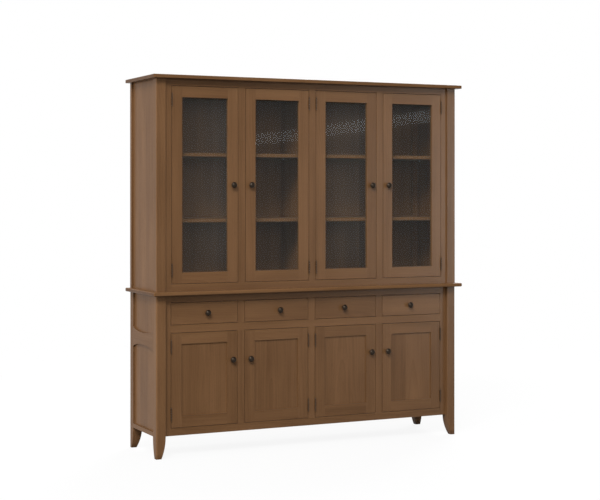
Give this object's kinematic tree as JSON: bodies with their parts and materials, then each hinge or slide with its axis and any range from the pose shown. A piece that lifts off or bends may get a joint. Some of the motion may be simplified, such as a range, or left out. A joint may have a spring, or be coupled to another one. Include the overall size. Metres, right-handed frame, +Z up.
{
  "type": "dresser with hutch",
  "caption": "Wooden dresser with drawers over panelled doors and a counter, carrying a hutch with glazed doors and shelves; doors swing on butt hinges and drawers slide.",
  "frame": {"origin": "on the floor, at the middle of the whole piece's width and depth", "axes": "+X to the right as seen from the front, +Y to the back, +Z up; the doors face -Y"},
  "size_m": [1.83, 0.448, 1.962],
  "materials": {
    "stained_wood": "satin brown stain",
    "plain_wood": "clear matt",
    "back_board": "satin brown stain",
    "clear_glass": "polished",
    "dark_bronze": "dark oiled bronze",
    "pin_steel": "nickel plated",
    "catch_plastic": "brown"
  },
  "bodies": {
    "case": {"base_posts": "stained_wood", "base_counter": "stained_wood", "base_face_frame": "stained_wood", "base_side_panels": "stained_wood", "base_side_rails": "stained_wood", "base_back_panel": "back_board", "base_floor": "stained_wood", "base_shelves": "stained_wood", "drawer_runners": "plain_wood", "case_partitions": "stained_wood", "hutch_posts": "stained_wood", "hutch_top": "stained_wood", "hutch_face_frame": "stained_wood", "hutch_side_panels": "stained_wood", "hutch_back_panel": "back_board", "hutch_floor": "stained_wood", "hutch_shelves": "stained_wood", "shelf_pins": "pin_steel", "hinge_frame_leaves": "dark_bronze", "door_catches": "catch_plastic"},
    "upper_door_1": {"upper_door_1_frame": "stained_wood", "upper_door_1_glass": "clear_glass", "upper_door_1_hinge_leaves": "dark_bronze", "upper_door_1_knob": "dark_bronze"},
    "lower_door_1": {"lower_door_1_frame_and_panel": "stained_wood", "lower_door_1_hinge_leaves": "dark_bronze", "lower_door_1_knob": "dark_bronze"},
    "drawer_1": {"drawer_1_front": "stained_wood", "drawer_1_box": "plain_wood", "drawer_1_knob": "dark_bronze"},
    "upper_door_2": {"upper_door_2_frame": "stained_wood", "upper_door_2_glass": "clear_glass", "upper_door_2_hinge_leaves": "dark_bronze", "upper_door_2_knob": "dark_bronze"},
    "lower_door_2": {"lower_door_2_frame_and_panel": "stained_wood", "lower_door_2_hinge_leaves": "dark_bronze", "lower_door_2_knob": "dark_bronze"},
    "drawer_2": {"drawer_2_front": "stained_wood", "drawer_2_box": "plain_wood", "drawer_2_knob": "dark_bronze"},
    "upper_door_3": {"upper_door_3_frame": "stained_wood", "upper_door_3_glass": "clear_glass", "upper_door_3_hinge_leaves": "dark_bronze", "upper_door_3_knob": "dark_bronze"},
    "lower_door_3": {"lower_door_3_frame_and_panel": "stained_wood", "lower_door_3_hinge_leaves": "dark_bronze", "lower_door_3_knob": "dark_bronze"},
    "drawer_3": {"drawer_3_front": "stained_wood", "drawer_3_box": "plain_wood", "drawer_3_knob": "dark_bronze"},
    "upper_door_4": {"upper_door_4_frame": "stained_wood", "upper_door_4_glass": "clear_glass", "upper_door_4_hinge_leaves": "dark_bronze", "upper_door_4_knob": "dark_bronze"},
    "lower_door_4": {"lower_door_4_frame_and_panel": "stained_wood", "lower_door_4_hinge_leaves": "dark_bronze", "lower_door_4_knob": "dark_bronze"},
    "drawer_4": {"drawer_4_front": "stained_wood", "drawer_4_box": "plain_wood", "drawer_4_knob": "dark_bronze"}
  },
  "joints": [
    {"name": "upper_door_1_swing", "type": "hinge", "parent": "case", "child": "upper_door_1", "pos_m": [-0.803, -0.182, 1.3995], "axis": [0, 0, -1], "range_deg": [0, 110]},
    {"name": "lower_door_1_swing", "type": "hinge", "parent": "case", "child": "lower_door_1", "pos_m": [-0.803, -0.172, 0.3945], "axis": [0, 0, -1], "range_deg": [0, 110]},
    {"name": "drawer_1_slide", "type": "slide", "parent": "case", "child": "drawer_1", "axis": [0, -1, 0], "range_m": [0, 0.26]},
    {"name": "upper_door_2_swing", "type": "hinge", "parent": "case", "child": "upper_door_2", "pos_m": [-0.021, -0.182, 1.3995], "axis": [0, 0, 1], "range_deg": [0, 88]},
    {"name": "lower_door_2_swing", "type": "hinge", "parent": "case", "child": "lower_door_2", "pos_m": [-0.021, -0.172, 0.3945], "axis": [0, 0, 1], "range_deg": [0, 88]},
    {"name": "drawer_2_slide", "type": "slide", "parent": "case", "child": "drawer_2", "axis": [0, -1, 0], "range_m": [0, 0.26]},
    {"name": "upper_door_3_swing", "type": "hinge", "parent": "case", "child": "upper_door_3", "pos_m": [0.021, -0.182, 1.3995], "axis": [0, 0, -1], "range_deg": [0, 88]},
    {"name": "lower_door_3_swing", "type": "hinge", "parent": "case", "child": "lower_door_3", "pos_m": [0.021, -0.172, 0.3945], "axis": [0, 0, -1], "range_deg": [0, 88]},
    {"name": "drawer_3_slide", "type": "slide", "parent": "case", "child": "drawer_3", "axis": [0, -1, 0], "range_m": [0, 0.26]},
    {"name": "upper_door_4_swing", "type": "hinge", "parent": "case", "child": "upper_door_4", "pos_m": [0.803, -0.182, 1.3995], "axis": [0, 0, 1], "range_deg": [0, 110]},
    {"name": "lower_door_4_swing", "type": "hinge", "parent": "case", "child": "lower_door_4", "pos_m": [0.803, -0.172, 0.3945], "axis": [0, 0, 1], "range_deg": [0, 110]},
    {"name": "drawer_4_slide", "type": "slide", "parent": "case", "child": "drawer_4", "axis": [0, -1, 0], "range_m": [0, 0.26]}
  ]
}
